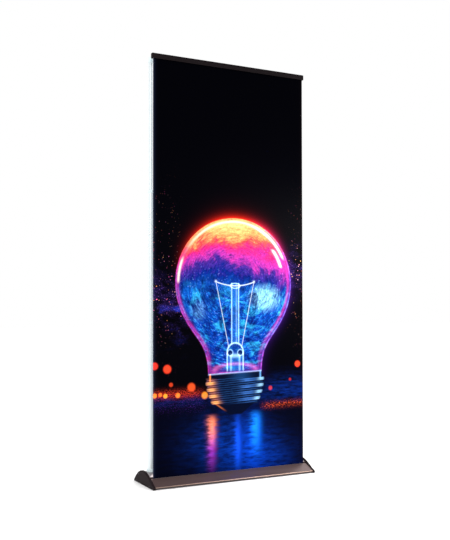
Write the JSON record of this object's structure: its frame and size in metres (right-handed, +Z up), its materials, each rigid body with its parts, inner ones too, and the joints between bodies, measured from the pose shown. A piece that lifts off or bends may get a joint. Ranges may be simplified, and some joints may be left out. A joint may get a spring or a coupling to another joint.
{
  "type": "roll-up banner stand",
  "caption": "Roll-up banner stand: domed base with a spring roller, two telescopic poles, a snap-open top rail and a tall printed banner held between them.",
  "frame": {"origin": "centre of the base's footprint, on the floor", "axes": "+Z up along the banner, +X along the base to the right as seen from the front, -Y towards the front (printed side)"},
  "size_m": [0.904, 0.2597, 2.0873],
  "materials": {
    "bronze_aluminium": "bronze anodised, glossy",
    "cap_plastic": "dark bronze moulded plastic",
    "dark_rail": "dark bronze anodised, satin",
    "pale_tube": "pale silver anodised tube",
    "pale_plastic": "pale moulded plastic",
    "black_plastic": "moulded, matte",
    "mill_aluminium": "plain drawn tube",
    "screw_steel": "blackened",
    "spring_steel": "oiled spring steel",
    "foot_rubber": "matte",
    "brush_pile": "short pile",
    "printed_film": null,
    "film_back": "grey light-stop back"
  },
  "bodies": {
    "base": {"banner_leader": "film_back", "banner_sheet": "printed_film", "base_housing": "bronze_aluminium", "cap_screw_back_left": "screw_steel", "cap_screw_back_right": "screw_steel", "cap_screw_front_left": "screw_steel", "cap_screw_front_right": "screw_steel", "cap_screw_top_left": "screw_steel", "cap_screw_top_right": "screw_steel", "end_cap_left": "cap_plastic", "end_cap_right": "cap_plastic", "foot_collar_left": "pale_plastic", "foot_collar_right": "pale_plastic", "front_cover": "bronze_aluminium", "lower_lock_left": "pale_plastic", "lower_lock_right": "pale_plastic", "pole_lower_left": "pale_tube", "pole_lower_right": "pale_tube", "pole_socket_left": "black_plastic", "pole_socket_right": "black_plastic", "roller_bush_left": "mill_aluminium", "rubber_foot_back_left": "foot_rubber", "rubber_foot_back_right": "foot_rubber", "rubber_foot_front_left": "foot_rubber", "rubber_foot_front_right": "foot_rubber", "slot_brush": "brush_pile", "slot_guide": "black_plastic", "spring_shaft": "spring_steel", "torsion_spring": "spring_steel"},
    "left_middle": {"pole_middle_left": "pale_tube", "middle_guide_left": "black_plastic", "middle_lock_left": "pale_plastic"},
    "left_upper": {"pole_upper_left": "pale_tube", "upper_guide_left": "black_plastic", "pole_head_left": "pale_plastic", "head_ring_left": "pale_tube", "rail_body": "dark_rail", "rail_cap_left": "cap_plastic", "rail_cap_right": "cap_plastic"},
    "right_middle": {"pole_middle_right": "pale_tube", "middle_guide_right": "black_plastic", "middle_lock_right": "pale_plastic"},
    "right_upper": {"pole_upper_right": "pale_tube", "upper_guide_right": "black_plastic", "pole_head_right": "pale_plastic", "head_ring_right": "pale_tube"},
    "rail_jaw": {"rail_jaw": "dark_rail"},
    "roller": {"roller_tube": "mill_aluminium", "banner_roll": "film_back", "roller_plug_left": "black_plastic", "roller_plug_right": "black_plastic", "spring_drive_plug": "black_plastic"}
  },
  "joints": [
    {"name": "left_middle_slide", "type": "slide", "parent": "base", "child": "left_middle", "axis": [0, 0, -1], "range_m": [0, 0.6], "deforming": ["banner_sheet"]},
    {"name": "left_upper_slide", "type": "slide", "parent": "left_middle", "child": "left_upper", "axis": [0, 0, -1], "range_m": [0, 0.6]},
    {"name": "right_middle_slide", "type": "slide", "parent": "base", "child": "right_middle", "axis": [0, 0, -1], "range_m": [0, 0.6]},
    {"name": "right_upper_slide", "type": "slide", "parent": "right_middle", "child": "right_upper", "axis": [0, 0, -1], "range_m": [0, 0.6]},
    {"name": "rail_jaw_hinge", "type": "hinge", "parent": "left_upper", "child": "rail_jaw", "pos_m": [0, -0.0612, 2.0819], "axis": [-1, 0, 0], "range_deg": [0, 40]},
    {"name": "roller_spin", "type": "hinge", "parent": "base", "child": "roller", "pos_m": [0, -0.04245, 0.0234], "axis": [1, 0, 0], "range_deg": [0, 4912.1]}
  ],
  "couplings": [
    {"joint": "left_upper_slide", "follows": "left_middle_slide", "ratio": 1},
    {"joint": "right_middle_slide", "follows": "left_middle_slide", "ratio": 1},
    {"joint": "right_upper_slide", "follows": "left_middle_slide", "ratio": 1},
    {"joint": "roller_spin", "follows": "left_middle_slide", "rad_per_m": 142.86}
  ]
}
